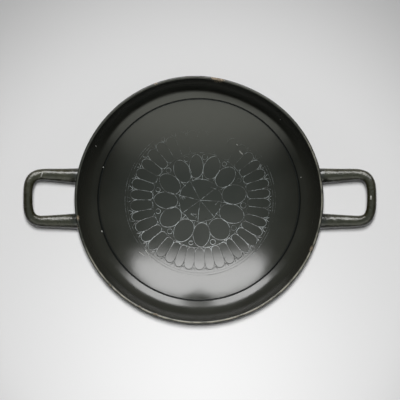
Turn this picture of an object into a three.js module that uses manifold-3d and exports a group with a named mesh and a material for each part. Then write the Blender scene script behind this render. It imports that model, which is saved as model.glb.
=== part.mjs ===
import * as THREE from 'three';
import { mergeVertices } from 'three/addons/utils/BufferGeometryUtils.js';
import Module from 'manifold-3d';

// A stemless drinking cup of black-gloss pottery. The shallow bowl, its offset lip, the ring
// foot and the two loop handles were thrown, joined and fired as one piece, so they are one
// solid. Millimetres, +Z up. The origin is on the cup's axis, on the surface it stands on,
// and the handles lie along X.

const degrees = THREE.MathUtils.degToRad;
const lerp = THREE.MathUtils.lerp;

// Bowl: its inside is part of a sphere, and the wall is even under it
const bowlRadius = 129;
const bowlWall = 4.6;
const floorClearance = 4.4;

// Offset between bowl and lip: a narrow, nearly flat ledge on the inside
const offsetRadius = 75;
const ledgeWidth = 1.1;
const ledgeRise = 0.1;

// Lip: its inside is straight at first, then curves up, and its edge is a half round
const lipReach = 16.9;
const lipStraight = 4;
const lipStraightShare = 0.25;
const edgeRadius = 1.2;
const lipStartSlope = degrees(34);
const lipEndSlope = degrees(64);

// The rim is a little flat on one side, as it was handled before firing
const flatDepth = 1.5;
const flatAngle = degrees(68);
const flatSpread = degrees(24);

// Ring foot: a torus outside, a groove between it and the bowl, a slanted face inside
const footRadius = 43.5;
const footBulge = 2;
const footRestWidth = 3.5;
const footInnerSlant = 1.6;
const footNeckDepth = 3.1;
const footGrooveHeight = 3.5;
const footGrooveRise = 0.8;

// Handles: loops that rise outwards. Seen from above, two nearly straight strands meet in a
// bend that is half a superellipse. Each loop stands out from the rim by its own length
const handles = [
  { side: 1, projection: 36 },
  { side: -1, projection: 34.8 },
];
const handleBurial = 8.6;
const handleRootDrop = 1.5;
const handleTopDrop = 4;
const handleRisePower = 1.2;
const handleHalfSpread = 17.5;
const handleRootHalfSpread = 16.2;
const handleShift = 1.2;
const handleRootShift = 0.3;
const bendLength = 13.5;
const bendSquareness = 3.2;
const bendShare = 0.42;
const strandHalfWidth = 4.5;
const strandHalfThickness = 4.1;
const farHalfWidth = 3.5;
const farHalfThickness = 3.6;
const farSharpness = 8;
const rootFlare = 2.7;
const rootFlareLength = 30;

// Facets: steps round the axis, along the profile, and round and along a handle
const turnSteps = 72;
const bowlSteps = 8;
const lipSteps = 8;
const edgeSteps = 4;
const outsideSteps = 5;
const undersideSteps = 4;
const torusSteps = 6;
const handleSides = 12;
const handleSteps = 36;
const lineSamples = 2000;

// Sizes that follow from those above
const outsideRadius = bowlRadius + bowlWall;
const sphereHeight = floorClearance + outsideRadius;
const bowlEndAngle = Math.asin(offsetRadius / bowlRadius);
const lipStartRadius = offsetRadius + ledgeWidth;
const lipStartHeight = sphereHeight - bowlRadius * Math.cos(bowlEndAngle) + ledgeRise;
const lipWall = bowlWall - ledgeWidth * Math.sin(lipStartSlope);
const rimRadius = lipStartRadius + lipReach;
const lipSpan = lipReach - lipStraight - edgeRadius * (1 + Math.sin(lipEndSlope));
const lipCurve = lipSpan / (Math.sin(lipEndSlope) - Math.sin(lipStartSlope));
const edgeCentreHeight = lipPoint(1, 0).y - edgeRadius * Math.cos(lipEndSlope);
const rimHeight = edgeCentreHeight + edgeRadius;
const footRestRadius = footRadius - footBulge;
const footRestInnerRadius = footRestRadius - footRestWidth;
const footInnerRadius = footRestInnerRadius - footInnerSlant;
const footNeckRadius = footRadius - footNeckDepth;
const footTorusHeight = outsideHeight(footNeckRadius) - footGrooveHeight;
const handleStart = offsetRadius - handleBurial;
const handleRootHeight = lipStartHeight - handleRootDrop;
const handleTopHeight = rimHeight - handleTopDrop;

const wasm = await Module();
wasm.setup();

// Angle and height of the bowl's outside at a radius
function outsideAngle(radius) {
  return Math.asin(radius / outsideRadius);
}

function outsideHeight(radius) {
  return sphereHeight - outsideRadius * Math.cos(outsideAngle(radius));
}

// Points of a curve from one value to another, both included
function along(curve, steps, from = 0, to = 1) {
  return Array.from({ length: steps + 1 }, (_, i) => curve(lerp(from, to, i / steps)));
}

// Point of the bowl at an angle from its lowest point, so far into the wall
function bowlPoint(angle, depth) {
  const radius = bowlRadius + depth;
  return new THREE.Vector2(radius * Math.sin(angle), sphereHeight - radius * Math.cos(angle));
}

// Point of the lip at a share of its length, so far into the wall as a share of its thickness
function lipPoint(share, depthShare) {
  const straight = lipStraight * Math.min(share / lipStraightShare, 1);
  const bend = Math.max(share - lipStraightShare, 0) / (1 - lipStraightShare);
  const slope = lerp(lipStartSlope, lipEndSlope, bend);
  const depth = depthShare * lerp(lipWall, 2 * edgeRadius, share);
  const radius = lipStartRadius + straight + lipCurve * (Math.sin(slope) - Math.sin(lipStartSlope));
  const rise = straight * Math.tan(lipStartSlope);
  const height = lipStartHeight + rise + lipCurve * (Math.cos(lipStartSlope) - Math.cos(slope));
  return new THREE.Vector2(radius + depth * Math.sin(slope), height - depth * Math.cos(slope));
}

// Half round of the rim's edge, from the outside over the top to the inside
function edgePoint(share) {
  const turn = lipEndSlope - Math.PI / 2 + share * Math.PI;
  const radius = rimRadius - edgeRadius + edgeRadius * Math.cos(turn);
  return new THREE.Vector2(radius, edgeCentreHeight + edgeRadius * Math.sin(turn));
}

// Outside of the ring foot, from its resting face up to the groove under the bowl
function footPoint(share) {
  const turn = (share - 0.5) * Math.PI;
  const radius = footRestRadius + footBulge * Math.cos(turn);
  return new THREE.Vector2(radius, footTorusHeight / 2 * (1 + Math.sin(turn)));
}

// Closed solid from a geometry: shared corners merged, triangles of no area dropped
function solid(geometry) {
  geometry.deleteAttribute('normal');
  geometry.deleteAttribute('uv');
  const merged = mergeVertices(geometry);
  const triangles = [];
  for (let i = 0; i < merged.index.count; i += 3) {
    const [a, b, c] = [0, 1, 2].map((k) => merged.index.getX(i + k));
    if (a !== b && b !== c && c !== a) triangles.push(a, b, c);
  }
  return new wasm.Manifold(new wasm.Mesh({
    numProp: 3,
    vertProperties: merged.attributes.position.array,
    triVerts: new Uint32Array(triangles),
  }));
}

// Solid of revolution about Z from a profile that starts and ends on the axis
function turned(profile) {
  const geometry = new THREE.LatheGeometry(profile, turnSteps);
  geometry.rotateX(Math.PI / 2);
  return solid(geometry);
}

// Bowl, lip and foot: from the underside's centre outwards, over the rim and back inside
function makeVessel() {
  const outside = (angle) => bowlPoint(angle, bowlWall);
  const neckAngle = outsideAngle(footNeckRadius);
  const lipAngle = outsideAngle(lipPoint(0, 1).x);
  return turned([
    ...along(outside, undersideSteps, 0, outsideAngle(footInnerRadius)),
    new THREE.Vector2(footRestInnerRadius, 0),
    ...along(footPoint, torusSteps),
    new THREE.Vector2(footNeckRadius, footTorusHeight + footGrooveRise),
    ...along(outside, outsideSteps, neckAngle, lipAngle).slice(0, -1),
    ...along((share) => lipPoint(share, 1), lipSteps),
    ...along(edgePoint, edgeSteps).slice(1, -1),
    ...along((share) => lipPoint(share, 0), lipSteps, 1, 0),
    ...along((angle) => bowlPoint(angle, 0), bowlSteps, bowlEndAngle, 0),
  ]);
}

// Hollow of the cup, enlarged to the middle of its wall: it trims the handles' buried ends
function makeTrimmer() {
  const above = 2 * rimHeight;
  return turned([
    ...along((angle) => bowlPoint(angle, bowlWall / 2), bowlSteps, 0, bowlEndAngle),
    ...along((share) => lipPoint(share, 0.5), lipSteps),
    new THREE.Vector2(lipPoint(1, 0.5).x, above),
    new THREE.Vector2(0, above),
  ]);
}

// Middle line of a handle: one strand, the bend and the other strand, rising outwards
class HandleLine extends THREE.Curve {
  constructor({ side, projection }) {
    super();
    this.side = side;
    this.reach = rimRadius + projection;
    this.arcLengthDivisions = lineSamples;
  }

  getPoint(t) {
    const place = 2 * t - 1;
    const turn = THREE.MathUtils.clamp(place / bendShare, -1, 1) * Math.PI / 2;
    const straight = Math.max(Math.abs(place) - bendShare, 0) / (1 - bendShare);
    const bend = bendLength * Math.max(Math.cos(turn), 0) ** (2 / bendSquareness);
    const x = lerp(this.reach - bendLength, handleStart, straight) + bend;
    const spread = lerp(handleHalfSpread, handleRootHalfSpread, straight);
    const y = Math.sign(turn) * spread * Math.abs(Math.sin(turn)) ** (2 / bendSquareness);
    const shift = lerp(handleShift, handleRootShift, straight);
    const rise = ((x - handleStart) / (this.reach - handleStart)) ** handleRisePower;
    const z = lerp(handleRootHeight, handleTopHeight, rise);
    return new THREE.Vector3(this.side * x, shift + this.side * y, z);
  }
}

// One handle: an upright cylinder of many rings, bent along its middle line
function makeHandle(handle) {
  const line = new HandleLine(handle);
  const length = line.getLength();
  const bar = new THREE.CylinderGeometry(1, 1, 1, handleSides, handleSteps);
  const corners = bar.attributes.position;
  const up = new THREE.Vector3(0, 0, 1);
  const corner = new THREE.Vector3();
  for (let i = 0; i < corners.count; i++) {
    corner.fromBufferAttribute(corners, i);
    const t = corner.y + 0.5;
    const tangent = line.getTangentAt(t);
    const across = new THREE.Vector3().crossVectors(tangent, up).normalize();
    const normal = new THREE.Vector3().crossVectors(across, tangent);
    const far = Math.sin(Math.PI * t) ** farSharpness;
    const toRoot = Math.min(t, 1 - t) * length;
    const flare = rootFlare * Math.exp(-((toRoot / rootFlareLength) ** 2));
    const width = lerp(strandHalfWidth, farHalfWidth, far) + flare;
    const thickness = lerp(strandHalfThickness, farHalfThickness, far) + flare;
    const point = line.getPointAt(t);
    point.addScaledVector(across, width * corner.x).addScaledVector(normal, thickness * corner.z);
    corners.setXYZ(i, point.x, point.y, point.z);
  }
  return solid(bar);
}

// Flatten the rim at one side: corners move inwards, the more the nearer they are to it
function flattenRim(corners) {
  for (let i = 0; i < corners.count; i++) {
    const x = corners.getX(i);
    const y = corners.getY(i);
    const radius = Math.hypot(x, y);
    const turn = Math.atan2(y, x) - flatAngle;
    const near = Math.exp(-((turn / flatSpread) ** 2));
    const share = THREE.MathUtils.smoothstep(radius, offsetRadius, rimRadius);
    const scale = radius > 0 ? 1 - flatDepth * near * share / radius : 1;
    corners.setXY(i, x * scale, y * scale);
  }
}

function makeCup() {
  const trimmer = makeTrimmer();
  let cup = makeVessel();
  for (const handle of handles) {
    cup = cup.add(makeHandle(handle).subtract(trimmer));
  }
  const { vertProperties, triVerts } = cup.getMesh();
  const geometry = new THREE.BufferGeometry();
  geometry.setAttribute('position', new THREE.BufferAttribute(vertProperties, 3));
  geometry.setIndex(new THREE.BufferAttribute(triVerts, 1));
  flattenRim(geometry.attributes.position);
  geometry.computeVertexNormals();
  const gloss = new THREE.MeshStandardMaterial({ color: 0x23241f, roughness: 0.22, metalness: 0 });
  const mesh = new THREE.Mesh(geometry, gloss);
  mesh.name = 'kylix_cup';
  return mesh;
}

const object = new THREE.Group();
object.add(makeCup());

export default object;
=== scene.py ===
import math

import bpy
import numpy as np
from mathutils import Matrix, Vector
from mathutils.geometry import delaunay_2d_cdt


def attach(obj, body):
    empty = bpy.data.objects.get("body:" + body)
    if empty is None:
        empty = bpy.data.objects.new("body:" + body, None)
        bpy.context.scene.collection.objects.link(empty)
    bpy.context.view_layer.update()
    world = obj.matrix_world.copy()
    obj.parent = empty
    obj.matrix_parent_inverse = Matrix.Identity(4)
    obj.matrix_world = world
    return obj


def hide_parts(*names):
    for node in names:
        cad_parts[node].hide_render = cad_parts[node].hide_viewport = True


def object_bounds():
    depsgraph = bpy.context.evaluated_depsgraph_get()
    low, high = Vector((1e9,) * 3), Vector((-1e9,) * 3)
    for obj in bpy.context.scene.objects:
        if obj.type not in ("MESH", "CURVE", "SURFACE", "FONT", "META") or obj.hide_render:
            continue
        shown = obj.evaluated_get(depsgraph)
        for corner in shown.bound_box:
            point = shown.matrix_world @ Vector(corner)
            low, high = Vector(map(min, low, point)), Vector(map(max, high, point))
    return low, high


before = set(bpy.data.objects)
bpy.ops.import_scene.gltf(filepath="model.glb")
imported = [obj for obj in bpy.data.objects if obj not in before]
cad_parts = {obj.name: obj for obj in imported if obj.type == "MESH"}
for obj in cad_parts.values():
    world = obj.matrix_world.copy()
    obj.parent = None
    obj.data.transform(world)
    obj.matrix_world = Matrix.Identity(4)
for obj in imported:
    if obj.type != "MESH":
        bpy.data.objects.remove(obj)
cad_box = [list(corner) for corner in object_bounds()]

# The cup of part.mjs with finer facets, its incised rosette, its chips and its worn rim.
# The cup's lengths are millimetres in the CAD's frame, and its mesh is turned into metres at
# its end. Places and sizes of the floor and the lights, and the camera's height, are metres
MM = 0.001
rng = np.random.default_rng(7)

# Sizes of part.mjs
BOWL_RADIUS = 129.0
BOWL_WALL = 4.6
FLOOR_CLEARANCE = 4.4
OFFSET_RADIUS = 75.0
LEDGE_WIDTH = 1.1
LEDGE_RISE = 0.1
LIP_REACH = 16.9
LIP_STRAIGHT = 4.0
LIP_STRAIGHT_SHARE = 0.25
EDGE_RADIUS = 1.2
LIP_START_SLOPE = math.radians(34)
LIP_END_SLOPE = math.radians(64)
FLAT_DEPTH = 1.5
FLAT_ANGLE = math.radians(68)
FLAT_SPREAD = math.radians(24)
FOOT_RADIUS = 43.5
FOOT_BULGE = 2.0
FOOT_REST_WIDTH = 3.5
FOOT_INNER_SLANT = 1.6
FOOT_NECK_DEPTH = 3.1
FOOT_GROOVE_HEIGHT = 3.5
FOOT_GROOVE_RISE = 0.8
HANDLES = ((1, 36.0), (-1, 34.8))
HANDLE_BURIAL = 8.6
HANDLE_ROOT_DROP = 1.5
HANDLE_TOP_DROP = 4.0
HANDLE_RISE_POWER = 1.2
HANDLE_HALF_SPREAD = 17.5
HANDLE_ROOT_HALF_SPREAD = 16.2
HANDLE_SHIFT = 1.2
HANDLE_ROOT_SHIFT = 0.3
BEND_LENGTH = 13.5
BEND_SQUARENESS = 3.2
BEND_SHARE = 0.42
STRAND_HALF_WIDTH = 4.5
STRAND_HALF_THICKNESS = 4.1
FAR_HALF_WIDTH = 3.5
FAR_HALF_THICKNESS = 3.6
FAR_SHARPNESS = 8
ROOT_FLARE = 2.7
ROOT_FLARE_LENGTH = 30.0

OUTSIDE_RADIUS = BOWL_RADIUS + BOWL_WALL
SPHERE_HEIGHT = FLOOR_CLEARANCE + OUTSIDE_RADIUS
BOWL_END_ANGLE = math.asin(OFFSET_RADIUS / BOWL_RADIUS)
LIP_START_RADIUS = OFFSET_RADIUS + LEDGE_WIDTH
LIP_START_HEIGHT = SPHERE_HEIGHT - BOWL_RADIUS * math.cos(BOWL_END_ANGLE) + LEDGE_RISE
LIP_WALL = BOWL_WALL - LEDGE_WIDTH * math.sin(LIP_START_SLOPE)
RIM_RADIUS = LIP_START_RADIUS + LIP_REACH
LIP_SPAN = LIP_REACH - LIP_STRAIGHT - EDGE_RADIUS * (1 + math.sin(LIP_END_SLOPE))
LIP_CURVE = LIP_SPAN / (math.sin(LIP_END_SLOPE) - math.sin(LIP_START_SLOPE))
LIP_STRAIGHT_RISE = LIP_STRAIGHT * math.tan(LIP_START_SLOPE)
LIP_BEND_RISE = LIP_CURVE * (math.cos(LIP_START_SLOPE) - math.cos(LIP_END_SLOPE))
LIP_END_HEIGHT = LIP_START_HEIGHT + LIP_STRAIGHT_RISE + LIP_BEND_RISE
EDGE_CENTRE_HEIGHT = LIP_END_HEIGHT - EDGE_RADIUS * math.cos(LIP_END_SLOPE)
RIM_HEIGHT = EDGE_CENTRE_HEIGHT + EDGE_RADIUS
FOOT_REST_RADIUS = FOOT_RADIUS - FOOT_BULGE
FOOT_REST_INNER_RADIUS = FOOT_REST_RADIUS - FOOT_REST_WIDTH
FOOT_INNER_RADIUS = FOOT_REST_INNER_RADIUS - FOOT_INNER_SLANT
FOOT_NECK_RADIUS = FOOT_RADIUS - FOOT_NECK_DEPTH
HANDLE_START = OFFSET_RADIUS - HANDLE_BURIAL
HANDLE_ROOT_HEIGHT = LIP_START_HEIGHT - HANDLE_ROOT_DROP
HANDLE_TOP_HEIGHT = RIM_HEIGHT - HANDLE_TOP_DROP

# Facets of the detailed mesh
TURN_STEPS = 360
TONDO_RADIUS = 62.0
LINE_STEP = 0.85
LINE_DEPTH = 0.14
TONDO_STEP = 2.4
TRIMMER_STEPS = 24
TRIMMER_TURNS = 120
HANDLE_SIDES = 30
HANDLE_STEPS = 170
HANDLE_SAMPLES = 4001
UNDERSIDE_STEPS = 14
REST_STEPS = 4
FOOT_STEPS = 18
WALL_STEPS = 26
EDGE_STEPS = 12
LEDGE_STEPS = 8
BOWL_STEPS = 12

# Sunk line along the ledge, and the short steps beside it that keep its edges crisp
GROOVE_DEPTH = 0.6
GROOVE_SHARPNESS = 1.4
LIP_CREASE = 0.008
BOWL_CREASE = 0.0015

# The photograph: 400 pixels wide, straight down the cup's axis, and one pixel at the rim's
# height is PIXEL millimetres. The rosette lies deeper, so it looks a little smaller there
PIXEL = 0.746
IMAGE_WIDTH = 400
AXIS_PIXEL = (199.0, 199.6)
HUB_PIXEL = (200.2, 200.2)
CAMERA_HEIGHT = 3.0
ROSETTE_DEPTH = 38.0
SENSOR = 36.0


def lerp(a, b, share):
    return a + (b - a) * share


def smoothstep(value, low, high):
    share = np.clip((value - low) / (high - low), 0, 1)
    return share * share * (3 - 2 * share)


def plan(pixel):
    """Place in the rim's plane of a pixel of the photograph."""
    return np.array([(pixel[0] - AXIS_PIXEL[0]) * PIXEL, (AXIS_PIXEL[1] - pixel[1]) * PIXEL])


# Profile of the vessel


def outside_angle(radius):
    return math.asin(radius / OUTSIDE_RADIUS)


def outside_height(radius):
    return SPHERE_HEIGHT - OUTSIDE_RADIUS * math.cos(outside_angle(radius))


def bowl_point(angle, depth):
    radius = BOWL_RADIUS + depth
    return (radius * math.sin(angle), SPHERE_HEIGHT - radius * math.cos(angle))


def lip_point(share, depth_share):
    straight = min(share / LIP_STRAIGHT_SHARE, 1)
    bend = max(share - LIP_STRAIGHT_SHARE, 0) / (1 - LIP_STRAIGHT_SHARE)
    slope = lerp(LIP_START_SLOPE, LIP_END_SLOPE, bend)
    depth = depth_share * lerp(LIP_WALL, 2 * EDGE_RADIUS, share)
    bend_reach = LIP_CURVE * (math.sin(slope) - math.sin(LIP_START_SLOPE))
    bend_rise = LIP_CURVE * (math.cos(LIP_START_SLOPE) - math.cos(slope))
    radius = LIP_START_RADIUS + LIP_STRAIGHT * straight + bend_reach
    height = LIP_START_HEIGHT + LIP_STRAIGHT_RISE * straight + bend_rise
    return (radius + depth * math.sin(slope), height - depth * math.cos(slope))


def edge_point(share):
    turn = LIP_END_SLOPE - math.pi / 2 + share * math.pi
    radius = RIM_RADIUS - EDGE_RADIUS + EDGE_RADIUS * math.cos(turn)
    return (radius, EDGE_CENTRE_HEIGHT + EDGE_RADIUS * math.sin(turn))


def foot_point(share):
    turn = (share - 0.5) * math.pi
    torus_height = outside_height(FOOT_NECK_RADIUS) - FOOT_GROOVE_HEIGHT
    radius = FOOT_REST_RADIUS + FOOT_BULGE * math.cos(turn)
    return (radius, torus_height / 2 * (1 + math.sin(turn)))


def along(curve, steps, start=0.0, end=1.0):
    return [curve(lerp(start, end, i / steps)) for i in range(steps + 1)]


def outside_point(angle):
    return bowl_point(angle, BOWL_WALL)


def inside_point(angle):
    return bowl_point(angle, 0)


def lip_outside(share):
    return lip_point(share, 1)


def lip_inside(share):
    return lip_point(share, 0)


def rest_point(share):
    return (lerp(FOOT_REST_INNER_RADIUS, FOOT_REST_RADIUS, share), 0.0)


def ledge_point(share):
    """Inside of the ledge between bowl and lip, with its sunk line."""
    sunk = GROOVE_DEPTH * math.sin(math.pi * share) ** GROOVE_SHARPNESS
    height = LIP_START_HEIGHT - LEDGE_RISE * (1 - share) - sunk
    return (lerp(OFFSET_RADIUS, LIP_START_RADIUS, share), height)


def outside_wall(steps):
    """Outside from the foot's neck to the lip's end."""
    lip_angle = outside_angle(lip_point(0, 1)[0])
    bowl = along(outside_point, steps, outside_angle(FOOT_NECK_RADIUS), lip_angle)
    return bowl[:-1] + along(lip_outside, steps)


def vessel_profile():
    """From the ring round the underside's centre, over the rim, to the tondo's edge."""
    inner = outside_angle(FOOT_INNER_RADIUS)
    torus_height = outside_height(FOOT_NECK_RADIUS) - FOOT_GROOVE_HEIGHT
    tondo_angle = math.asin(TONDO_RADIUS / BOWL_RADIUS)
    return (
        along(outside_point, UNDERSIDE_STEPS, inner / UNDERSIDE_STEPS, inner)
        + along(rest_point, REST_STEPS)
        + along(foot_point, FOOT_STEPS)[1:]
        + [(FOOT_NECK_RADIUS, torus_height + FOOT_GROOVE_RISE)]
        + outside_wall(WALL_STEPS)
        + along(edge_point, EDGE_STEPS)[1:-1]
        + along(lip_inside, WALL_STEPS, 1, 0)[:-1]
        + [lip_inside(LIP_CREASE)]
        + along(ledge_point, LEDGE_STEPS)[::-1]
        + along(inside_point, BOWL_STEPS, BOWL_END_ANGLE - BOWL_CREASE, tondo_angle)
    )


# Incised lines of the rosette

# Radii are pixels of the photograph round the hub, angles are degrees counterclockwise from
# +X, and half widths are millimetres. A line's strength is how deep it is cut and how pale
# it is, its pale colour partly filling and partly a painted highlight of the cut's walls.
# Strokes are angle and radius; circles are radius, half width and strength
SPOKES = (357, 38, 118, 167, 216, 264, 310)
PETAL_BOUNDS = (27, 56.2, 83.8, 108.6, 136.7, 166, 194.6, 225.6, 257.6, 286.9, 320.6, 353.3)
SHORT_STROKES = ((167, 16.5), (167, 18.5), (357, 17.5), (240, 16.0), (252, 17.5), (38, 18.5))
TONGUES = 39
TONGUE_START = 3.2
TONGUE_DRIFT = 3.4
TONGUE_DRIFT_ANGLE = 25
CIRCLES = ((47.3, 0.2, 0.45), (72.7, 0.2, 0.5), (75.0, 0.2, 0.5))
ARC = 12

HUB_DOT = 0.4
HUB_DOT_HALF_WIDTH = 0.6
SPOKE_END = 20.6
RING_RADIUS = 20.9
PETAL_MIDDLE = 34.4
PETAL_HALF_LENGTH = 11.9
PETAL_FULLNESS = 0.95
PETAL_TAPER = 0.06
BUD_RADIUS = 43.4
BASE_ARCH = 47.4
TONGUE_BASE = 50.3
TONGUE_TOP = 64.2
TONGUE_TIP = 70.2
DART = ((-1.6, 70.9), (0.0, 67.6), (1.6, 70.9))

THIN = 0.2
FINE = 0.21
FIRM = 0.22
BROAD = 0.24

# Outer lines are worn away round the first angle, over the second one to each side of it
WORN_LINES = (79, 43)
WORN_SHARE = 0.8

# The innermost circle is cut deeper between two angles
DEEP_ARC = (234, 300)
DEEP_ARC_STRENGTH = 2.2


def polar(angle, radius):
    """Points from angles and radii of the rosette, in millimetres on the cup."""
    spread = PIXEL * (1 + ROSETTE_DEPTH * MM / CAMERA_HEIGHT)
    turn = np.radians(angle)
    hub = plan(HUB_PIXEL)
    x = hub[0] + radius * spread * np.cos(turn)
    y = hub[1] + radius * spread * np.sin(turn)
    return np.stack([x, y], axis=-1)


def faded(angle):
    """Strength of the outer lines: they are worn away towards one side."""
    middle, half = WORN_LINES
    off = (angle - middle + 180) % 360 - 180
    return 1 - WORN_SHARE * math.exp(-((off / half) ** 4))


def spoke_lines():
    hub = polar(np.array([0.0, 180.0]), np.array([HUB_DOT, HUB_DOT]))
    lines = [(hub, HUB_DOT_HALF_WIDTH, 1.0)]
    for angle in SPOKES:
        share = np.linspace(0, 1, 8)
        bend = 1.2 * rng.normal() * np.sin(math.pi * share)
        lines.append((polar(angle + bend, SPOKE_END * share), FINE, 0.9))
    return lines


def petal_lines():
    """Twelve oval petals that nearly touch."""
    lines = []
    for i, start in enumerate(PETAL_BOUNDS):
        span = (PETAL_BOUNDS[(i + 1) % len(PETAL_BOUNDS)] - start) % 360
        middle = start + span / 2 + rng.normal(0, 0.6)
        centre = PETAL_MIDDLE + rng.normal(0, 0.25)
        half_length = PETAL_HALF_LENGTH + rng.normal(0, 0.3)
        half_width = PETAL_FULLNESS * centre * math.tan(math.radians(span / 2))
        lean = rng.normal(0, 0.05)
        turn = np.linspace(0, 2 * math.pi, 49)
        out = np.sin(turn)
        side = half_width * np.cos(turn) * (1 - PETAL_TAPER * out) + lean * half_length * out
        radius = centre + half_length * out
        angle = middle + np.degrees(np.arctan2(side, radius))
        lines.append((polar(angle, np.hypot(side, radius)), FINE, 0.95))
    return lines


def ring_lines():
    """Scalloped ring round the hub, a rib from it up between each two petals, and strokes."""
    lines = []
    nodes = [bound + rng.normal(0, 1.2) for bound in PETAL_BOUNDS]
    for i, node in enumerate(nodes):
        span = (nodes[(i + 1) % len(nodes)] - node) % 360
        share = np.linspace(0, 1, 9)
        bulge = rng.uniform(0.2, 1.4) * np.sin(math.pi * share)
        scallop = polar(node + span * share, RING_RADIUS + bulge)
        lines.append((scallop, FINE, rng.uniform(0.55, 1.0)))
        lean = np.array([0, rng.normal(0, 0.5), rng.normal(0, 0.8)])
        reach = np.array([RING_RADIUS, 24.0, rng.uniform(26, 30)])
        lines.append((polar(node + lean, reach), BROAD, rng.uniform(0.5, 1.0)))
    for angle, radius in SHORT_STROKES:
        lean = rng.uniform(-12, 12, 3)
        stroke = polar(angle + lean, radius + np.array([-1.2, 0.6, 1.0]))
        lines.append((stroke, FIRM, 0.85))
    return lines


def bud_lines():
    """Small circle between the outer ends of each two petals."""
    lines = []
    for bound in PETAL_BOUNDS:
        turn = np.linspace(0, 2 * math.pi, 15)
        size = rng.uniform(2.1, 2.9)
        angle = bound + np.degrees(size * np.cos(turn) / BUD_RADIUS)
        bud = polar(angle, BUD_RADIUS + size * np.sin(turn))
        lines.append((bud, FIRM, rng.uniform(0.5, 0.9)))
    return lines


def tongue_bounds():
    """Angles between the tongues, which the potter spaced a little unevenly."""
    bounds = []
    for i in range(TONGUES):
        even = i * (360 / TONGUES)
        drift = TONGUE_DRIFT * math.sin(math.radians(even + TONGUE_DRIFT_ANGLE))
        bounds.append(TONGUE_START + even - drift + rng.normal(0, 0.35))
    return bounds


def tongue_lines():
    """Long tongues side by side: dividers, arched tips, small arched bases and darts."""
    lines = []
    bounds = tongue_bounds()
    dart, dart_radii = np.array(DART).T
    for i, bound in enumerate(bounds):
        span = (bounds[(i + 1) % TONGUES] - bound) % 360
        strength = faded(bound)
        base = TONGUE_BASE + rng.normal(0, 0.3)
        top = TONGUE_TOP + rng.normal(0, 0.5)
        share = np.linspace(0, 1, 9)
        divider = polar(bound + rng.normal(0, 0.1, 9), lerp(base, top, share))
        lines.append((divider, THIN, 0.8 * strength))
        turn = np.linspace(0, math.pi, 15)
        across = bound + span / 2 - (span / 2 - 0.25) * np.cos(turn)
        tip = TONGUE_TIP + rng.normal(0, 0.35)
        lines.append((polar(across, lerp(top, tip, np.sin(turn))), FIRM, 1.05 * strength))
        arch = polar(across, lerp(base, BASE_ARCH, np.sin(turn)))
        lines.append((arch, THIN, 0.6 * strength + 0.1))
        lines.append((polar(bound + dart, dart_radii), BROAD, 0.9 * strength))
    return lines


def arc_strength(radius, start):
    """How much of a circle's strength is left on the arc from an angle."""
    if radius > TONGUE_BASE:
        return faded(start + ARC / 2)
    return DEEP_ARC_STRENGTH if DEEP_ARC[0] <= start <= DEEP_ARC[1] else 1


def circle_lines():
    lines = []
    for radius, width, strength in CIRCLES:
        for start in range(0, 360, ARC):
            angle = np.linspace(start, start + ARC, ARC + 1)
            left = strength * arc_strength(radius, start) * rng.uniform(0.7, 1.15)
            lines.append((polar(angle, radius + 0 * angle), width, left))
    return lines


# Mesh of the bowl's middle, the tondo

# Points lie beside a line at these places, in its half widths, and are left out where a line
# cuts deeper than the overlap. The even points keep the clearance from every line. Depths
# are worked out square by square, and points closer than the last value are joined
BESIDE = (-1.9, -1, 1, 1.9)
BESIDE_OVERLAP = 0.02
LINE_CLEARANCE = 0.9
GRID_OVERLAP = 0.01
SQUARE = 5.0
JOINED_BELOW = 1e-4


def resampled(points, step):
    """Evenly spaced points along a line, a step or a little less apart."""
    lengths = np.r_[0, np.cumsum(np.linalg.norm(np.diff(points, axis=0), axis=1))]
    count = max(2, int(math.ceil(lengths[-1] / step)) + 1)
    at = np.linspace(0, lengths[-1], count)
    return np.stack([np.interp(at, lengths, points[:, k]) for k in (0, 1)], axis=-1)


def line_segments(lines):
    """Start, end, half width and strength of every short piece of every line."""
    rows = []
    for points, half_width, strength in lines:
        dots = resampled(points, LINE_STEP)
        for a, b in zip(dots[:-1], dots[1:]):
            rows.append((*a, *b, half_width, strength))
    return np.array(rows)


def incised_depth(points, segments):
    """How deep each plan point lies in the incised lines, from 0 to a line's strength."""
    depth = np.zeros(len(points))
    reach = segments[:, 4].max()
    a, b = segments[:, 0:2], segments[:, 2:4]
    low, high = np.minimum(a, b) - reach, np.maximum(a, b) + reach
    squares, member = np.unique(np.floor(points / SQUARE), axis=0, return_inverse=True)
    member = member.ravel()
    for k, corner in enumerate(squares * SQUARE):
        near = ((high > corner) & (low < corner + SQUARE)).all(axis=1)
        if not near.any():
            continue
        rows = np.nonzero(member == k)[0]
        start, edge = a[near], (b - a)[near]
        gap = points[rows][:, None, :] - start
        share = np.clip((gap * edge).sum(axis=2) / np.maximum((edge**2).sum(axis=1), 1e-9), 0, 1)
        away = np.linalg.norm(gap - share[:, :, None] * edge, axis=2)
        value = segments[near, 5] * np.clip(1 - away / segments[near, 4], 0, 1)
        depth[rows] = value.max(axis=1)
    return depth


def line_chains(lines):
    """Points along every line and the edges that join them, numbered after the outer ring."""
    middle = []
    edges = []
    for points, _, _ in lines:
        dots = resampled(points, LINE_STEP)
        first = TURN_STEPS + len(middle)
        edges += [(first + i, first + i + 1) for i in range(len(dots) - 1)]
        middle += list(dots)
    return np.array(middle), edges


def beside_lines(lines, segments):
    """Points just beside every line, apart from those that lie in another one."""
    sides = []
    for points, half_width, _ in lines:
        dots = resampled(points, LINE_STEP)
        ahead = np.gradient(dots, axis=0)
        ahead /= np.linalg.norm(ahead, axis=1)[:, None] + 1e-9
        normal = np.stack([-ahead[:, 1], ahead[:, 0]], axis=-1)
        for away in BESIDE:
            sides += list(dots + away * half_width * normal)
    sides = np.array(sides)
    return sides[incised_depth(sides, segments) < BESIDE_OVERLAP]


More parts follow.
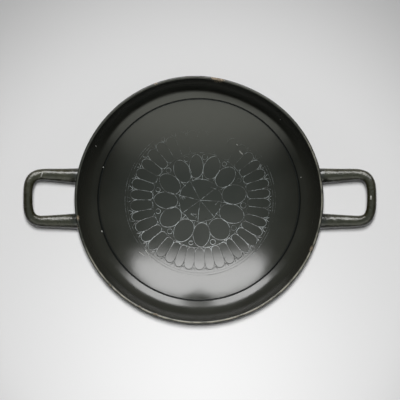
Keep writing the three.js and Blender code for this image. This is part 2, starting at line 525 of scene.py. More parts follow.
def even_grid(segments):
    """Even rings of points over the tondo, apart from those close to a line."""
    grid = []
    for radius in np.arange(TONDO_STEP, TONDO_RADIUS - TONDO_STEP / 2, TONDO_STEP):
        count = int(round(2 * math.pi * radius / TONDO_STEP))
        angle = np.arange(count) * 2 * math.pi / count + radius
        grid += list(radius * np.stack([np.cos(angle), np.sin(angle)], axis=-1))
    grid = np.array(grid)
    wide = segments.copy()
    wide[:, 4] = LINE_CLEARANCE
    return grid[incised_depth(grid, wide) < GRID_OVERLAP]


def tondo_mesh():
    """Plan points and triangles of the bowl's middle, dense along the incised lines."""
    lines = spoke_lines() + petal_lines() + ring_lines()
    lines += bud_lines() + tongue_lines() + circle_lines()
    segments = line_segments(lines)
    turn = np.arange(TURN_STEPS) * 2 * math.pi / TURN_STEPS
    ring = TONDO_RADIUS * np.stack([np.cos(turn), np.sin(turn)], axis=-1)
    edges = [(i, (i + 1) % TURN_STEPS) for i in range(TURN_STEPS)]
    middle, chains = line_chains(lines)
    points = np.vstack([ring, middle, beside_lines(lines, segments), even_grid(segments)])
    places = [Vector(p) for p in points]
    made = delaunay_2d_cdt(places, edges + chains, [], 0, JOINED_BELOW)
    flat = np.array([tuple(v) for v in made[0]])
    faces = [f for f in made[2] if len(set(f)) == 3]
    return flat, faces, segments


def on_bowl(flat, depth):
    """Bowl's inside over plan points, sunk along its own normal by a depth."""
    radius = np.hypot(flat[:, 0], flat[:, 1])
    height = np.sqrt(BOWL_RADIUS**2 - radius**2)
    scale = 1 + depth / BOWL_RADIUS
    x, y, z = flat[:, 0] * scale, flat[:, 1] * scale, SPHERE_HEIGHT - height * scale
    return np.stack([x, y, z], axis=-1)


# Mesh of the vessel


def new_object(name, vertices, faces):
    mesh = bpy.data.meshes.new(name)
    mesh.from_pydata([tuple(v) for v in vertices], [], faces)
    mesh.validate()
    obj = bpy.data.objects.new(name, mesh)
    bpy.context.scene.collection.objects.link(obj)
    return obj


def revolve(profile, turns):
    """Rings of points about Z."""
    turn = np.arange(turns) * 2 * math.pi / turns
    return np.array([[(r * math.cos(t), r * math.sin(t), z) for t in turn] for r, z in profile])


def ring_faces(rings, turns):
    """Squares between rings of points that follow each other."""
    faces = []
    for k in range(rings - 1):
        low = k * turns
        for i in range(turns):
            j = (i + 1) % turns
            faces.append((low + i, low + j, low + turns + j, low + turns + i))
    return faces


def make_vessel():
    """Lathe-turned vessel whose last ring is the outer ring of the tondo's mesh."""
    profile = vessel_profile()
    rings = revolve(profile, TURN_STEPS)
    flat, tondo, segments = tondo_mesh()
    depth = incised_depth(flat, segments)
    middle = on_bowl(flat, LINE_DEPTH * depth)
    vertices = np.vstack([rings.reshape(-1, 3), middle, [(0, 0, FLOOR_CLEARANCE)]])
    faces = ring_faces(len(profile), TURN_STEPS)
    first = len(profile) * TURN_STEPS
    pole = len(vertices) - 1
    faces += [(pole, (i + 1) % TURN_STEPS, i) for i in range(TURN_STEPS)]
    # The tondo's first points are its outer ring, which the last ring of the lathe repeats
    spare = {first + i: first - TURN_STEPS + i for i in range(TURN_STEPS)}
    for face in tondo:
        faces.append(tuple(spare.get(first + i, first + i) for i in face))
    return new_object("vessel", vertices, faces), segments


def middle_of_bowl(angle):
    return bowl_point(angle, BOWL_WALL / 2)


def middle_of_lip(share):
    return lip_point(share, 0.5)


def make_trimmer():
    """Hollow of the cup, enlarged to the middle of its wall."""
    above = 2 * RIM_HEIGHT
    steps = TRIMMER_STEPS
    turns = TRIMMER_TURNS
    profile = (
        along(middle_of_bowl, steps, BOWL_END_ANGLE / steps, BOWL_END_ANGLE)
        + along(middle_of_lip, steps // 2)
        + [(middle_of_lip(1)[0], above)]
    )
    rings = revolve(profile, turns).reshape(-1, 3)
    low = len(rings)
    last = low - turns
    poles = [(0, 0, FLOOR_CLEARANCE + BOWL_WALL / 2), (0, 0, above)]
    faces = ring_faces(len(profile), turns)
    faces += [(low, (i + 1) % turns, i) for i in range(turns)]
    faces += [(low + 1, last + i, last + (i + 1) % turns) for i in range(turns)]
    return new_object("trimmer", np.vstack([rings, poles]), faces)


# Handles


def handle_point(t, side, projection):
    reach = RIM_RADIUS + projection
    place = 2 * t - 1
    turn = max(-1, min(1, place / BEND_SHARE)) * math.pi / 2
    straight = max(abs(place) - BEND_SHARE, 0) / (1 - BEND_SHARE)
    bend = BEND_LENGTH * max(math.cos(turn), 0) ** (2 / BEND_SQUARENESS)
    x = lerp(reach - BEND_LENGTH, HANDLE_START, straight) + bend
    spread = lerp(HANDLE_HALF_SPREAD, HANDLE_ROOT_HALF_SPREAD, straight)
    y = math.copysign(1, turn) * spread * abs(math.sin(turn)) ** (2 / BEND_SQUARENESS)
    shift = lerp(HANDLE_SHIFT, HANDLE_ROOT_SHIFT, straight)
    rise = ((x - HANDLE_START) / (reach - HANDLE_START)) ** HANDLE_RISE_POWER
    z = lerp(HANDLE_ROOT_HEIGHT, HANDLE_TOP_HEIGHT, rise)
    return (side * x, shift + side * y, z)


def handle_line(side, projection):
    """Evenly spaced points of a handle's middle line, with its frame and half sizes there."""
    samples = np.linspace(0, 1, HANDLE_SAMPLES)
    fine = np.array([handle_point(t, side, projection) for t in samples])
    lengths = np.r_[0, np.cumsum(np.linalg.norm(np.diff(fine, axis=0), axis=1))]
    t = np.linspace(0, 1, HANDLE_STEPS + 1)
    at = t * lengths[-1]
    centre = np.stack([np.interp(at, lengths, fine[:, k]) for k in range(3)], axis=-1)
    tangent = np.gradient(centre, axis=0)
    tangent /= np.linalg.norm(tangent, axis=1)[:, None]
    across = np.cross(tangent, (0, 0, 1))
    across /= np.linalg.norm(across, axis=1)[:, None]
    normal = np.cross(across, tangent)
    far = np.sin(math.pi * t) ** FAR_SHARPNESS
    to_root = np.minimum(t, 1 - t) * lengths[-1]
    flare = ROOT_FLARE * np.exp(-((to_root / ROOT_FLARE_LENGTH) ** 2))
    width = lerp(STRAND_HALF_WIDTH, FAR_HALF_WIDTH, far) + flare
    thickness = lerp(STRAND_HALF_THICKNESS, FAR_HALF_THICKNESS, far) + flare
    return centre, across, normal, width, thickness


def make_handle(line):
    centre, across, normal, width, thickness = line
    turn = np.arange(HANDLE_SIDES) * 2 * math.pi / HANDLE_SIDES
    rings = (
        centre[:, None, :]
        + (width[:, None] * np.cos(turn))[:, :, None] * across[:, None, :]
        + (thickness[:, None] * np.sin(turn))[:, :, None] * normal[:, None, :]
    )
    count = len(centre)
    faces = ring_faces(count, HANDLE_SIDES)
    faces = [tuple(reversed(f)) for f in faces]
    last = (count - 1) * HANDLE_SIDES
    faces.append(tuple(range(HANDLE_SIDES)))
    faces.append(tuple(last + i for i in reversed(range(HANDLE_SIDES))))
    return new_object("handle", rings.reshape(-1, 3), faces)


def combine(base, tool, operation):
    """Boolean of two closed meshes; the tool is used up."""
    step = base.modifiers.new("combine", "BOOLEAN")
    step.object = tool
    step.operation = operation
    step.solver = "MANIFOLD"
    graph = bpy.context.evaluated_depsgraph_get()
    mesh = bpy.data.meshes.new_from_object(base.evaluated_get(graph))
    base.modifiers.clear()
    base.data = mesh
    bpy.data.objects.remove(tool)


def corners(mesh):
    flat = np.empty(len(mesh.vertices) * 3)
    mesh.vertices.foreach_get("co", flat)
    return flat.reshape(-1, 3)


# Clay smeared round a handle's root

# Its size, how often and how far at a time a point may move, and where it is looked for
FILLET = 5.0
FILLET_ROUNDS = 3
FILLET_MOVE = 2.0
FILLET_REACH = 50.0
FILLET_HALF_SPREAD = 40.0
FILLET_WALL_STEPS = 40
WALL_SKIN = 0.6


def wall_distance(points, wall):
    """Signed distance from the vessel's outside, and its outward direction."""
    radius = np.hypot(points[:, 0], points[:, 1])
    flat = np.stack([radius, points[:, 2]], axis=-1)[:, None, :]
    a, b = wall[:-1], wall[1:]
    edge = b - a
    share = np.clip(((flat - a) * edge).sum(axis=2) / (edge**2).sum(axis=1), 0, 1)
    gap = flat - a - share[:, :, None] * edge
    near = (gap**2).sum(axis=2).argmin(axis=1)
    rows = np.arange(len(points))
    normal = np.stack([edge[near, 1], -edge[near, 0]], axis=-1)
    normal /= np.linalg.norm(normal, axis=1)[:, None]
    distance = (gap[rows, near] * normal).sum(axis=1)
    x = normal[:, 0] * points[:, 0] / radius
    y = normal[:, 0] * points[:, 1] / radius
    return distance, np.stack([x, y, normal[:, 1]], axis=-1)


def strand_distance(points, line):
    """Distance from a handle's surface, and the direction out of it."""
    centre, across, normal, width, thickness = line
    near = ((points[:, None, :] - centre) ** 2).sum(axis=2).argmin(axis=1)
    gap = points - centre[near]
    a = (gap * across[near]).sum(axis=1)
    n = (gap * normal[near]).sum(axis=1)
    size = np.sqrt((a / width[near]) ** 2 + (n / thickness[near]) ** 2) + 1e-6
    length = np.hypot(a, n)
    outward = a[:, None] * across[near] + n[:, None] * normal[near]
    outward /= np.linalg.norm(outward, axis=1)[:, None] + 1e-9
    return length * (1 - 1 / size), outward


def smear_roots(points, line, side):
    """Raise the skin near the seam of handle and wall to a smooth blend of the two."""
    wall = np.array(outside_wall(FILLET_WALL_STEPS))
    beside = np.abs(points[:, 1]) < FILLET_HALF_SPREAD
    nearby = np.nonzero((side * points[:, 0] > FILLET_REACH) & beside)[0]
    wall_gap, _ = wall_distance(points[nearby], wall)
    nearby = nearby[wall_gap > -WALL_SKIN]
    for _ in range(FILLET_ROUNDS):
        p = points[nearby]
        a, a_out = wall_distance(p, wall)
        b, b_out = strand_distance(p, line)
        share = np.clip(0.5 + 0.5 * (b - a) / FILLET, 0, 1)
        value = lerp(b, a, share) - FILLET * share * (1 - share)
        outward = share[:, None] * a_out + (1 - share)[:, None] * b_out
        move = np.where((np.abs(a) < FILLET) & (np.abs(b) < FILLET), -value, 0)
        points[nearby] = p + np.clip(move, 0, FILLET_MOVE)[:, None] * outward


# Uneven rim, chips and wear

# Pixel of the photograph, half length, half width and depth in millimetres, and clay shown
CHIPS = (
    ((218, 79.0), 4.8, 2.0, 0.8, 1.1),
    ((156, 83.5), 1.5, 1.0, 0.4, 0.7),
    ((311.7, 248.5), 2.0, 1.1, 0.5, 1.0),
    ((78.0, 218), 1.7, 1.1, 0.4, 0.8),
    ((77.3, 226.6), 1.3, 1.0, 0.3, 0.7),
    ((110, 285.6), 1.5, 0.9, 0.4, 0.7),
    ((139.5, 306.5), 1.3, 0.8, 0.3, 0.6),
    ((155.5, 314.5), 1.6, 0.9, 0.4, 1.0),
)
CHIP_REACH = 6.0

# Wear of the rim's crest, all round it and more so on the sides of -Y and +X, which are half
# widths in degrees. It fades out between two depths below the rim's top
WORN_ROUND = 0.06
WORN_BELOW = 0.7
WORN_BELOW_HALF = 62
WORN_RIGHT = 0.35
WORN_RIGHT_HALF = 30
CREST_TOP = 0.03
CREST_DEPTH = 0.17
SIDE_BLUR = 0.25

# Outside these radii the pale colour of the lines, filling and painted highlight, is mostly gone
# on the side of -Y
PALE_GONE = 0.9
PALE_GONE_HALF = 40
PALE_GONE_RADII = (38.0, 43.0)

# Radii over which the lip turns rougher and darker, its darker colour painted shade, and over
# which the gloss turns olive towards the strands, and half width of the painted shade along
# the groove of the ledge
DULL_SHADED_RADII = (82.5, 87.0)
STRAND_RADII = (RIM_RADIUS - 1, RIM_RADIUS + 6)
GROOVE_HALF_WIDTH = 0.75


def flatten_rim(points):
    """Draw the lip in on one side, where the rim of the photo is a little flat."""
    radius = np.hypot(points[:, 0], points[:, 1])
    turn = np.arctan2(points[:, 1], points[:, 0]) - FLAT_ANGLE
    near = np.exp(-((turn / FLAT_SPREAD) ** 2))
    share = smoothstep(radius, OFFSET_RADIUS, RIM_RADIUS)
    scale = 1 - FLAT_DEPTH * near * share / np.maximum(radius, 1)
    points[:, 0] *= scale
    points[:, 1] *= scale


def chip_mask(points, pixel, half_length, half_width):
    """1 in the middle of a chip that is long round the axis, 0 outside it."""
    place = plan(pixel)
    out = place / np.linalg.norm(place)
    gap = points[:, :2] - place
    radial = gap @ out
    around = gap @ np.array([-out[1], out[0]])
    near = np.exp(-((radial / half_width) ** 2) - (around / half_length) ** 2)
    return near * (points[:, 2] > RIM_HEIGHT - CHIP_REACH)


def side_share(turn, middle, half):
    """1 round an angle in degrees, falling to 0 beyond a half width."""
    off = (np.degrees(turn) - middle + 180) % 360 - 180
    return 1 - smoothstep(np.abs(off), (1 - SIDE_BLUR) * half, (1 + SIDE_BLUR) * half)


def join_handles(cup, lines):
    """Cut each handle to the wall's middle and make it one with the vessel."""
    for line in lines:
        handle = make_handle(line)
        combine(handle, make_trimmer(), "DIFFERENCE")
        combine(cup, handle, "UNION")


def in_hollow(points, radius):
    """Whether each point lies on the inside of the wall's middle."""
    middle = BOWL_RADIUS + BOWL_WALL / 2
    return points[:, 2] > SPHERE_HEIGHT - np.sqrt(np.maximum(middle**2 - radius**2, 0))


def cut_chips(points):
    """Sink the chips into the rim, and say how much clay each point shows."""
    clay = np.zeros(len(points))
    for pixel, half_length, half_width, depth, shown in CHIPS:
        mask = chip_mask(points, pixel, half_length, half_width)
        points[:, 2] -= depth * mask
        clay = np.maximum(clay, shown * mask)
    return clay


def crest_wear(height, turn):
    below = WORN_BELOW * side_share(turn, -90, WORN_BELOW_HALF)
    right = WORN_RIGHT * side_share(turn, 0, WORN_RIGHT_HALF)
    top = smoothstep(height, RIM_HEIGHT - CREST_DEPTH, RIM_HEIGHT - CREST_TOP)
    return (WORN_ROUND + below + right) * top


def finish_mesh(mesh, points, values):
    # The fine facets reach a little further out than the CAD's, so they are held in its box
    low, high = np.array(cad_box[0]), np.array(cad_box[1])
    mesh.vertices.foreach_set("co", np.clip(points * MM, low, high).ravel())
    for name, numbers in values.items():
        attribute = mesh.attributes.new(name, "FLOAT", "POINT")
        attribute.data.foreach_set("value", numbers.astype(np.float32))
    mesh.shade_smooth()
    mesh.update()
    mesh.name = "cup"


def make_cup():
    cup, segments = make_vessel()
    lines = [handle_line(*handle) for handle in HANDLES]
    join_handles(cup, lines)
    points = corners(cup.data)
    for line, (side, _) in zip(lines, HANDLES):
        smear_roots(points, line, side)
    radius = np.hypot(points[:, 0], points[:, 1])
    turn = np.arctan2(points[:, 1], points[:, 0])
    inside = in_hollow(points, radius)
    incised = np.zeros(len(points))
    tondo = (radius < TONDO_RADIUS - 1) & inside
    incised[tondo] = incised_depth(points[tondo, :2], segments)
    pale_gone = PALE_GONE * side_share(turn, -90, PALE_GONE_HALF)
    from_groove = (radius - OFFSET_RADIUS - LEDGE_WIDTH / 2) / GROOVE_HALF_WIDTH
    flatten_rim(points)
    clay = cut_chips(points)
    values = {
        "incised": incised,
        # Pale colour of the lines, partly filling and partly painted highlight of the cut walls
        "filled_and_sheen": incised * (1 - pale_gone * smoothstep(radius, *PALE_GONE_RADII)),
        "clay": clay,
        "crest": crest_wear(points[:, 2], turn),
        "strand": smoothstep(radius, *STRAND_RADII),
        # Painted shade in the groove along the ledge
        "groove_shade": np.exp(-(from_groove**4)) * inside,
        # Rougher lip, whose darker colour is painted shade
        "dull_and_shaded": smoothstep(radius, *DULL_SHADED_RADII) * inside,
    }
    finish_mesh(cup.data, points, values)
    cup.name = "cup"
    return cup


# Materials


class Nodes:
    """Short way to add and link shader nodes."""

    def __init__(self, owner):
        owner.use_nodes = True
        self.tree = owner.node_tree
        self.tree.nodes.clear()

    def fill(self, socket, value):
        """Link a socket to another one, or set it to a constant."""
        if isinstance(value, bpy.types.NodeSocket):
            self.tree.links.new(value, socket)
        else:
            socket.default_value = value

    def add(self, kind, inputs=None, **settings):
        node = self.tree.nodes.new(kind)
        for name, value in settings.items():
            setattr(node, name, value)
        for name, value in (inputs or {}).items():
            self.fill(node.inputs[name], value)
        return node

    def attribute(self, name):
        return self.add("ShaderNodeAttribute", attribute_name=name).outputs["Fac"]

    def place(self, kind="Object"):
        return self.add("ShaderNodeTexCoord").outputs[kind]

    def noise(self, scale, detail):
        inputs = {"Vector": self.place(), "Scale": scale, "Detail": detail, "Roughness": 0.55}
        return self.add("ShaderNodeTexNoise", inputs).outputs["Fac"]

    def ranged(self, value, low, high, to_low=0.0, to_high=1.0):
        """Smooth step of a value from one range to another."""
        inputs = {"Value": value, "From Min": low, "From Max": high}
        inputs.update({"To Min": to_low, "To Max": to_high})
        step = self.add("ShaderNodeMapRange", inputs, interpolation_type="SMOOTHSTEP")
        return step.outputs["Result"]

    def maths(self, operation, a, b):
        node = self.add("ShaderNodeMath", operation=operation)
        self.fill(node.inputs[0], a)
        self.fill(node.inputs[1], b)
        return node.outputs[0]

    def product(self, first, *others):
        for other in others:
            first = self.maths("MULTIPLY", first, other)
        return first

    def total(self, first, *others):
        for other in others:
            first = self.maths("ADD", first, other)
        return first

    def largest(self, first, *others):
        for other in others:
            first = self.maths("MAXIMUM", first, other)
        return first

    def vector(self, operation, a, b=None, **inputs):
        """Vector maths, whose answer is a number for a dot product, a length or a distance."""
        node = self.add("ShaderNodeVectorMath", inputs, operation=operation)
        self.fill(node.inputs[0], a)
        if b is not None:
            self.fill(node.inputs[1], b)
        number = operation in ("DOT_PRODUCT", "LENGTH", "DISTANCE")
        return node.outputs["Value" if number else "Vector"]

    def mixed(self, share, a, b):
        """Colour between two others. The mix node has its colour sockets at 6, 7 and 2."""
        node = self.add("ShaderNodeMix", data_type="RGBA")
        self.fill(node.inputs[0], share)
        self.fill(node.inputs[6], a)
        self.fill(node.inputs[7], b)
        return node.outputs[2]


def colour(red, green, blue):
    return (red, green, blue, 1.0)


def grey(tone):
    return colour(tone, tone, tone)


BLACK_GLOSS = (colour(0.030, 0.031, 0.025), colour(0.037, 0.038, 0.031))
OLIVE_GLOSS = (colour(0.026, 0.025, 0.012), colour(0.040, 0.038, 0.019))
BARE_CLAY = (colour(0.12, 0.09, 0.055), colour(0.32, 0.245, 0.165))
# Darker colour of the rough lip: painted shade
DULL_SHADED_GLOSS = colour(0.021, 0.021, 0.016)
# Painted shade in the groove along the ledge
GROOVE_PAINTED_SHADE = colour(0.0015, 0.0015, 0.0012)
CUT_BLACK = colour(0.012, 0.012, 0.010)
# Pale colour of the lines: partly filling, partly painted highlight of the cut walls
PALE_FILLING_AND_SHEEN = colour(0.43, 0.47, 0.47)
WORN_CREST = colour(0.60, 0.57, 0.46)
WHITE_MARK = colour(0.62, 0.62, 0.58)

# Roughness of the gloss, and what is added to it on the lip, the strands and where it is worn
GLOSS_ROUGHNESS = (0.13, 0.18)
LIP_ROUGHNESS = 0.08
STRAND_ROUGHNESS = (0.04, 0.16)
WORN_ROUGHNESS = 0.5

# Heights of the brush waves, the strands' lumps, the fine unevenness and the grain, in
# multiples of the bump's distance, which is in metres
WAVE_HEIGHT = 9.0
LUMP_HEIGHT = 95.0
FINE_HEIGHT = 0.35
GRAIN_HEIGHT = 0.12
BUMP_DISTANCE = 0.0001
BUMP_STRENGTH = 0.12

# Small white marks: pixels of their two ends and half width in millimetres
MARKS = (
    ((240.0, 150.6), (242.8, 153.6), 0.42),
    ((237.0, 143.8), (238.0, 144.6), 0.3),
    ((101.2, 231.0), (101.6, 232.0), 0.32),
    ((95.5, 145.6), (96.0, 146.4), 0.28),
    ((102.6, 167.0), (102.8, 167.0), 0.4),
    ((301.4, 177.3), (301.5, 177.3), 0.35),
    ((280.4, 119.3), (280.6, 119.4), 0.3),
    ((145.0, 250.5), (150.0, 257.5), 0.15),
    ((139.0, 252.5), (143.5, 256.0), 0.15),
    ((371.0, 196.4), (371.0, 198.8), 0.6),
    ((42.2, 173.0), (41.0, 176.2), 0.4),
)


def mark(n, place, start, end, half_width):
    """1 near the line between two pixels' places, 0 a little beyond its half width."""
    a, b = plan(start) * MM, plan(end) * MM
    edge = (*(b - a), 0.0)
    squared = max((b - a) @ (b - a), 1e-12)
    gap = n.vector("SUBTRACT", place, (*a, 0.0))
    share = n.maths("MULTIPLY", n.vector("DOT_PRODUCT", gap, edge), 1 / squared)
    near = n.vector("SCALE", edge, Scale=n.maths("MINIMUM", n.maths("MAXIMUM", share, 0.0), 1.0))
    away = n.vector("LENGTH", n.vector("SUBTRACT", gap, near))
    return n.ranged(away, 1.3 * half_width * MM, 0.5 * half_width * MM)


def marks(n):
    """Share of every white mark, on surfaces that face upward only."""
    place = n.vector("MULTIPLY", n.place(), (1.0, 1.0, 0.0))
    upward = n.add("ShaderNodeSeparateXYZ", {"Vector": n.place("Normal")}).outputs["Z"]
    marked = n.largest(0.0, *[mark(n, place, *ends_and_width) for ends_and_width in MARKS])
    broken = n.ranged(n.noise(1500, 2), 0.3, 0.55, 0.2, 1.0)
    return n.product(marked, n.ranged(upward, 0.1, 0.3), broken)


def filling_and_sheen(n):
    """Share of the pale colour in the incised lines, partly filling and partly painted
    highlight.
    """
    gaps = n.ranged(n.noise(150, 3), 0.38, 0.62, 0.35, 1.35)
    crumbs = n.ranged(n.noise(1100, 2), 0.3, 0.6, 0.5, 1.15)
    return n.ranged(n.product(n.attribute("filled_and_sheen"), gaps, crumbs), 0.1, 0.75)


def worn_places(n):
    """Shares of the cut lines, the worn crest, the bare clay and the white marks."""
    cut = n.ranged(n.attribute("incised"), 0.15, 0.7)
    crest = n.product(n.attribute("crest"), n.ranged(n.noise(160, 4), 0.36, 0.58, 0.35, 1.1))
    ragged = n.ranged(n.noise(1400, 3), 0.3, 0.7, -0.25, 0.25)
    clay = n.ranged(n.total(n.attribute("clay"), ragged), 0.35, 0.5)
    return cut, crest, clay, marks(n)


def gloss_colour(n, cloud, worn):
    cut, crest, clay, white = worn
    base = n.mixed(n.ranged(cloud, 0.35, 0.7), *BLACK_GLOSS)
    layers = (
        (n.attribute("strand"), n.mixed(n.ranged(n.noise(90, 3), 0.4, 0.65), *OLIVE_GLOSS)),
        # painted shade on the lip
        (n.attribute("dull_and_shaded"), DULL_SHADED_GLOSS),
        # painted shade in the ledge's groove
        (n.attribute("groove_shade"), GROOVE_PAINTED_SHADE),
        (cut, CUT_BLACK),
        # pale lines: filling and painted highlight
        (filling_and_sheen(n), PALE_FILLING_AND_SHEEN),
        (crest, WORN_CREST),
        (clay, n.mixed(n.ranged(n.noise(700, 3), 0.4, 0.6), *BARE_CLAY)),
        (white, WHITE_MARK),
    )
    for share, layer in layers:
        base = n.mixed(share, base, layer)
    return base


def gloss_roughness(n, cloud, worn):
    strand = n.ranged(n.noise(120, 3), 0.38, 0.62, *STRAND_ROUGHNESS)
    return n.total(
        n.ranged(cloud, 0.3, 0.7, *GLOSS_ROUGHNESS),
        n.product(n.attribute("dull_and_shaded"), LIP_ROUGHNESS),
        n.product(n.attribute("strand"), strand),
        n.product(n.largest(*worn), WORN_ROUGHNESS),
    )


def gloss_bump(n):
    height = n.total(
        n.product(n.noise(55, 2), WAVE_HEIGHT),
        n.product(n.noise(300, 3), LUMP_HEIGHT, n.attribute("strand")),
        n.product(n.noise(900, 3), FINE_HEIGHT),
        n.product(n.noise(2600, 2), GRAIN_HEIGHT),
    )
    inputs = {"Height": height, "Strength": BUMP_STRENGTH, "Distance": BUMP_DISTANCE}
    return n.add("ShaderNodeBump", inputs).outputs["Normal"]


def gloss_material():
    """Cloudy black gloss, olive on the handles, with pale lines, partly filling and partly
    painted highlight, and worn clay.
    """
    material = bpy.data.materials.new("black_gloss")
    n = Nodes(material)
    cloud = n.noise(28, 4)
    worn = worn_places(n)
    inputs = {
        "Base Color": gloss_colour(n, cloud, worn),
        "Roughness": gloss_roughness(n, cloud, worn),
        "Normal": gloss_bump(n),
        "IOR": 1.5,
    }
    shader = n.add("ShaderNodeBsdfPrincipled", inputs)
    n.add("ShaderNodeOutputMaterial", {"Surface": shader.outputs["BSDF"]})
    return material


def floor_material():
    """Pale board with a painted pool of light, darker outward round two places in front of the
    cup's middle.
    """
    material = bpy.data.materials.new("floor")
    n = Nodes(material)
    from_front = n.vector("DISTANCE", n.place(), (0, -0.14, 0))
    from_middle = n.vector("DISTANCE", n.place(), (0, -0.05, 0))
    # Both tones paint a pool of light onto the board, brightest in front of the cup
    near_painted_light = n.ranged(from_front, 0.0, 0.21, 0.89, 0.65)
    far_painted_light = n.ranged(from_middle, 0.15, 0.3, 1.0, 0.5)
    lit = n.product(near_painted_light, far_painted_light)
    tone = n.add("ShaderNodeCombineColor", {"Red": lit, "Green": lit, "Blue": lit})
    inputs = {"Base Color": tone.outputs["Color"], "Roughness": 0.9, "Specular IOR Level": 0.1}
    shader = n.add("ShaderNodeBsdfPrincipled", inputs)
    n.add("ShaderNodeOutputMaterial", {"Surface": shader.outputs["BSDF"]})
    return material


# Floor, lights and camera

FLOOR_HALF = 6.0

# The softbox of the photo: how far its middle is off the cup's axis, towards +Y, and how
# far away it stands
SOFTBOX_ANGLE = math.radians(50)
SOFTBOX_DISTANCE = 1.5

# The softbox as the gloss shows it, on its own plane in units of its distance. Every edge
# is soft. The long edges are bent, and the far one has a dent in its middle
BOX_NEAR_EDGE = (-0.375, -0.07)
BOX_FAR_EDGE = (0.39, 0.285)
BOX_ENDS = (0.98, 0.70)
BOX_NEAR_BEND = 0.22
BOX_FAR_BEND = 0.41
DENT_DEPTH = 0.1
DENT_HALF_WIDTH = 0.24
GLOW_EDGE = (-1.1, -0.7)
GLOW_SHARE = 0.03

# The pale front, in steps of a way towards -Y, to the side and upward
FRONT_REACH = (-0.22, -0.92)
FRONT_SIDES = (0.92, 0.66)
FRONT_BOTTOM = (0.21, 0.37)

# Tones of what the gloss shows, and the steps of a way's height over which they come in
BOX_TONE = grey(10.4)
FRONT_TONE = colour(1.95, 2.0, 1.78)
CEILING_TONE = colour(0.53, 0.63, 0.60)
GROUND_TONE = grey(0.3)
CEILING_STEP = (0.25, 1.05)
GROUND_STEP = (-0.15, -0.8)


def make_floor():
    half = FLOOR_HALF
    square = [(-half, -half, 0), (half, -half, 0), (half, half, 0), (-half, half, 0)]
    floor = new_object("floor", square, [(0, 1, 2, 3)])
    floor.data.materials.append(floor_material())
    return floor


def only(name, *objects):
    """Collection of the objects that a light falls on."""
    group = bpy.data.collections.new(name)
    for obj in objects:
        group.objects.link(obj)
    return group


def area_light(name, place, target, size, radiance, lit):
    """Rectangular light that faces a target. It lights some objects, and no gloss shows it."""
    lamp = bpy.data.lights.new(name, "AREA")
    lamp.shape = "RECTANGLE"
    lamp.size, lamp.size_y = size
    lamp.energy = radiance * size[0] * size[1] * math.pi
    obj = bpy.data.objects.new(name, lamp)
    bpy.context.scene.collection.objects.link(obj)
    obj.location = place
    obj.rotation_mode = "QUATERNION"
    obj.rotation_quaternion = (Vector(place) - Vector(target)).to_track_quat("Z", "Y")
    obj.visible_camera = False
    obj.visible_glossy = False
    obj.light_linking.receiver_collection = lit


def softbox_place():
    height = SOFTBOX_DISTANCE * math.cos(SOFTBOX_ANGLE)
    return (0, SOFTBOX_DISTANCE * math.sin(SOFTBOX_ANGLE), height)


def towards(n, way, angle):
    """How far a way goes towards an angle off the cup's axis."""
    return n.vector("DOT_PRODUCT", way, (0, math.sin(angle), math.cos(angle)))


def softbox_share(n, way, side):
    """1 where a way meets the softbox, less at its edges and in the glow before it."""
    depth = n.maths("MAXIMUM", towards(n, way, SOFTBOX_ANGLE), 0.01)
    across = n.maths("DIVIDE", side, depth)
    up = n.maths("DIVIDE", towards(n, way, SOFTBOX_ANGLE + math.pi / 2), depth)
    near_bend = n.product(n.maths("POWER", across, 2), BOX_NEAR_BEND)
    far_bend = n.product(n.maths("POWER", across, 4), BOX_FAR_BEND)
    dent = n.ranged(across, DENT_HALF_WIDTH, 0.0, 0.0, DENT_DEPTH)
    near_edge = n.ranged(n.maths("SUBTRACT", up, near_bend), *BOX_NEAR_EDGE)
    far_edge = n.ranged(n.total(up, far_bend, dent), *BOX_FAR_EDGE)
    glow = n.ranged(up, *GLOW_EDGE, 0.0, GLOW_SHARE)
    return n.product(n.largest(near_edge, glow), far_edge, n.ranged(across, *BOX_ENDS))


def front_share(n, y, z, side):
    """1 in the middle of the pale front, which stands on the side of -Y."""
    return n.product(
        n.ranged(y, *FRONT_REACH),
        n.ranged(side, *FRONT_SIDES),
        n.ranged(z, *FRONT_BOTTOM),
    )


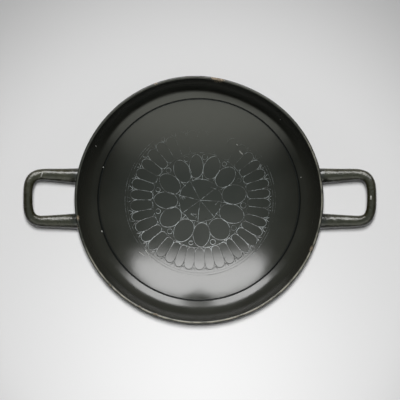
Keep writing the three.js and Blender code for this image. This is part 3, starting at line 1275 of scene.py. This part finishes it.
def sky():
    """Surroundings that only the gloss shows: softbox, pale front, dim ceiling and ground."""
    world = bpy.data.worlds.new("studio")
    bpy.context.scene.world = world
    world.cycles_visibility.diffuse = False
    n = Nodes(world)
    way = n.place("Generated")
    axes = n.add("ShaderNodeSeparateXYZ", {"Vector": way})
    x, y, z = (axes.outputs[name] for name in "XYZ")
    side = n.maths("ABSOLUTE", x, 0)
    tone = n.mixed(n.ranged(z, *CEILING_STEP), grey(0.0), CEILING_TONE)
    tone = n.mixed(n.ranged(z, *GROUND_STEP), tone, GROUND_TONE)
    tone = n.mixed(front_share(n, y, z, side), tone, FRONT_TONE)
    tone = n.mixed(softbox_share(n, way, side), tone, BOX_TONE)
    shown = n.add("ShaderNodeBackground", {"Color": tone})
    n.add("ShaderNodeOutputWorld", {"Surface": shown.outputs["Background"]})


def make_lights(cup, floor):
    middle = (0, 0, 0.03)
    area_light(
        "overhead",
        place=(0, 0.2, 3.6),
        target=(0, 0.2, 0),
        size=(0.2, 0.32),
        radiance=655.0,
        lit=only("below", floor),
    )
    area_light(
        "softbox",
        place=softbox_place(),
        target=middle,
        size=(1.6, 0.86),
        radiance=5.6,
        lit=only("cup", cup),
    )
    area_light(
        "fill",
        place=(0, 0, 1.3),
        target=middle,
        size=(3.0, 3.0),
        radiance=0.035,
        lit=only("all", cup, floor),
    )
    sky()


def make_camera():
    middle = plan((IMAGE_WIDTH / 2, IMAGE_WIDTH / 2))
    camera = bpy.data.cameras.new("camera")
    camera.sensor_width = SENSOR
    camera.lens = SENSOR * (CAMERA_HEIGHT / MM - RIM_HEIGHT) / (IMAGE_WIDTH * PIXEL)
    obj = bpy.data.objects.new("camera", camera)
    obj.location = (middle[0] * MM, middle[1] * MM, CAMERA_HEIGHT)
    bpy.context.scene.collection.objects.link(obj)
    bpy.context.scene.camera = obj


make_camera()
floor = make_floor()
bpy.context.scene.view_settings.view_transform = "Standard"
cup = make_cup()
cup.data.materials.clear()
cup.data.materials.append(gloss_material())
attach(cup, "root")
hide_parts("kylix_cup")
make_lights(cup, floor)
